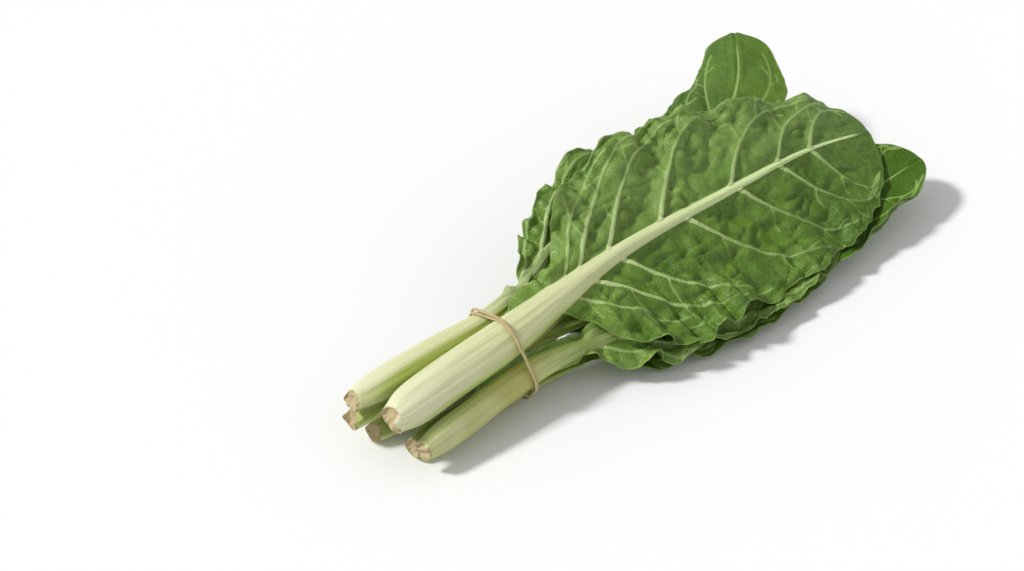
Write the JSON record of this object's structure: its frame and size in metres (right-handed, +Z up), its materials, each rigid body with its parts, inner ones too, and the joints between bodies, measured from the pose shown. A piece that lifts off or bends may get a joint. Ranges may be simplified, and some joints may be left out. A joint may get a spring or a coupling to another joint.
{
  "type": "chard bunch",
  "caption": "bunch of Swiss chard with broad cream stems and ruffled green leaves, tied with a rubber band and lying on its side",
  "frame": {"origin": "on the ground, under the middle of the bunch's bounding box", "axes": "+X along the bunch from the cut ends to the leaf tips, +Z up, +Y towards the side on which the top leaf is raised"},
  "size_m": [0.4394, 0.1782, 0.0976],
  "materials": {
    "leaf_outer_side": "matte grey-green blade with raised pale veins, and a cream ribbed stem",
    "leaf_inner_side": "smooth satin mid-green blade with fine pale veins, and a cream to yellow-green stem",
    "band_rubber": "matte tan rubber"
  },
  "bodies": {
    "root": {"top_leaf": "leaf_outer_side", "left_leaf": "leaf_outer_side", "right_leaf": "leaf_outer_side", "inner_leaf": "leaf_outer_side", "back_leaf": "leaf_inner_side", "lower_leaf": "leaf_inner_side", "right_lower_leaf": "leaf_inner_side", "bottom_leaf": "leaf_inner_side", "rubber_band": "band_rubber"}
  },
  "joints": []
}
